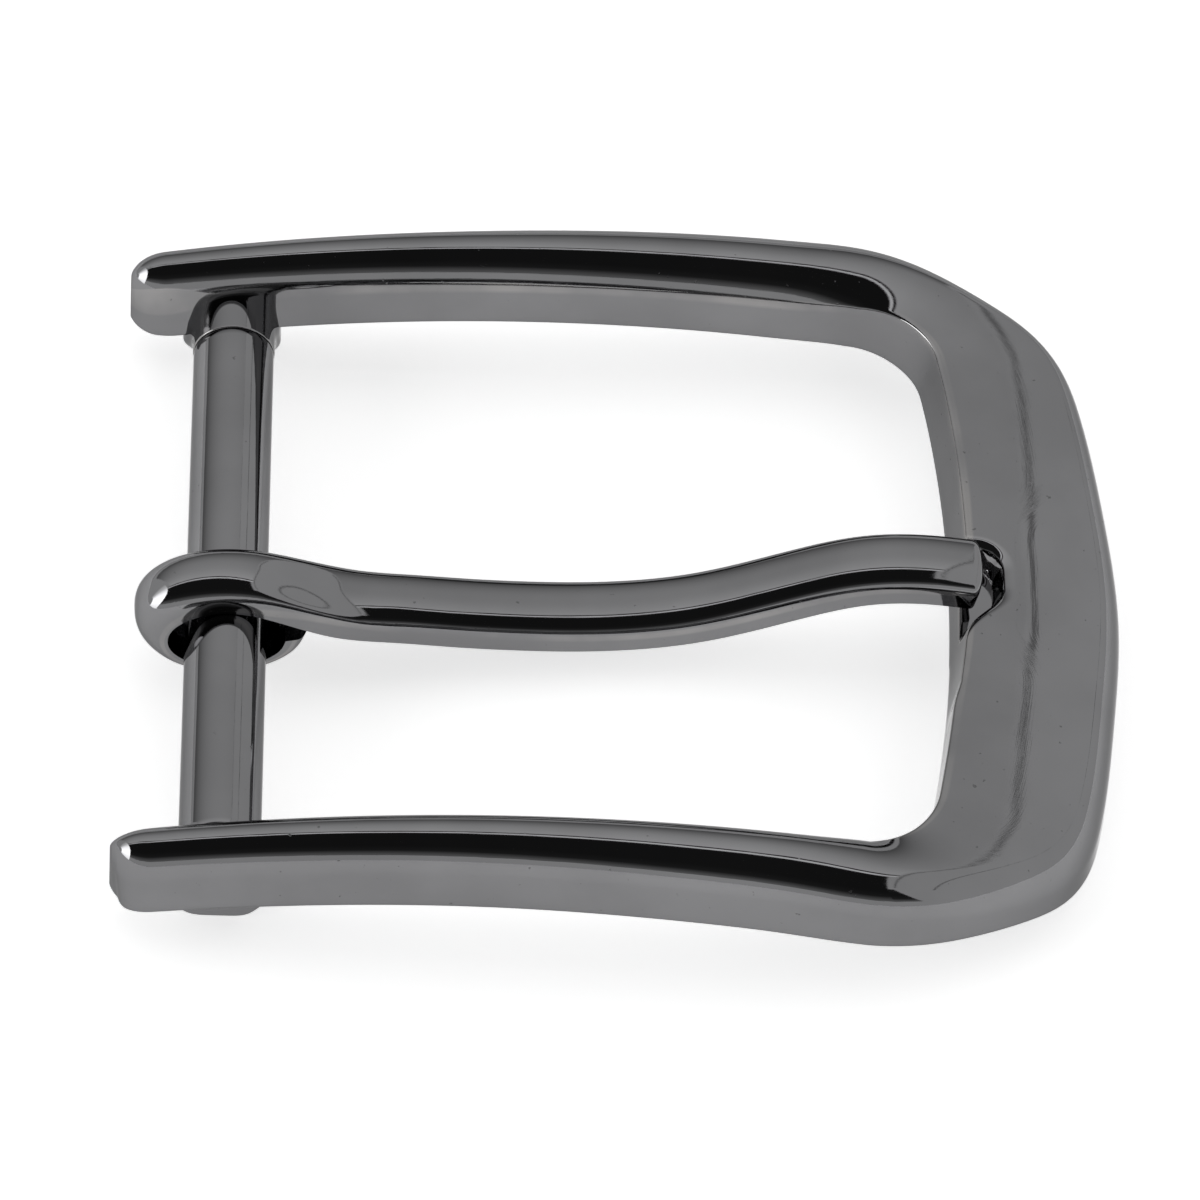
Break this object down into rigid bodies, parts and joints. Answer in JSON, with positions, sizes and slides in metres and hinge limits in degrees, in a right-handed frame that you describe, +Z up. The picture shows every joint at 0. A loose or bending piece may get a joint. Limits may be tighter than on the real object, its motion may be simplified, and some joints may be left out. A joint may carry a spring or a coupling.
{
  "type": "belt buckle",
  "caption": "Prong buckle for a dress belt: bowed D-shaped frame with a wide notched end bar, a round cross bar and a curled S-shaped prong.",
  "frame": {"origin": "middle of the buckle's bounding box, on the surface that its back rests on", "axes": "+X from the cross bar to the end bar, +Y across the strap, +Z up through the front face"},
  "size_m": [0.0524, 0.0456, 0.0083],
  "materials": {
    "frame_plating": "polished black nickel plate on a zinc casting",
    "bar_plating": "polished black nickel plate on a turned bar",
    "prong_plating": "polished black nickel plate on a formed prong"
  },
  "bodies": {
    "frame": {"buckle_frame": "frame_plating", "cross_bar": "bar_plating"},
    "prong": {"prong": "prong_plating"}
  },
  "joints": [
    {"name": "prong_hinge", "type": "hinge", "parent": "frame", "child": "prong", "pos_m": [-0.0206, 0, 0.00295], "axis": [0, -1, 0], "range_deg": [0, 345]}
  ]
}
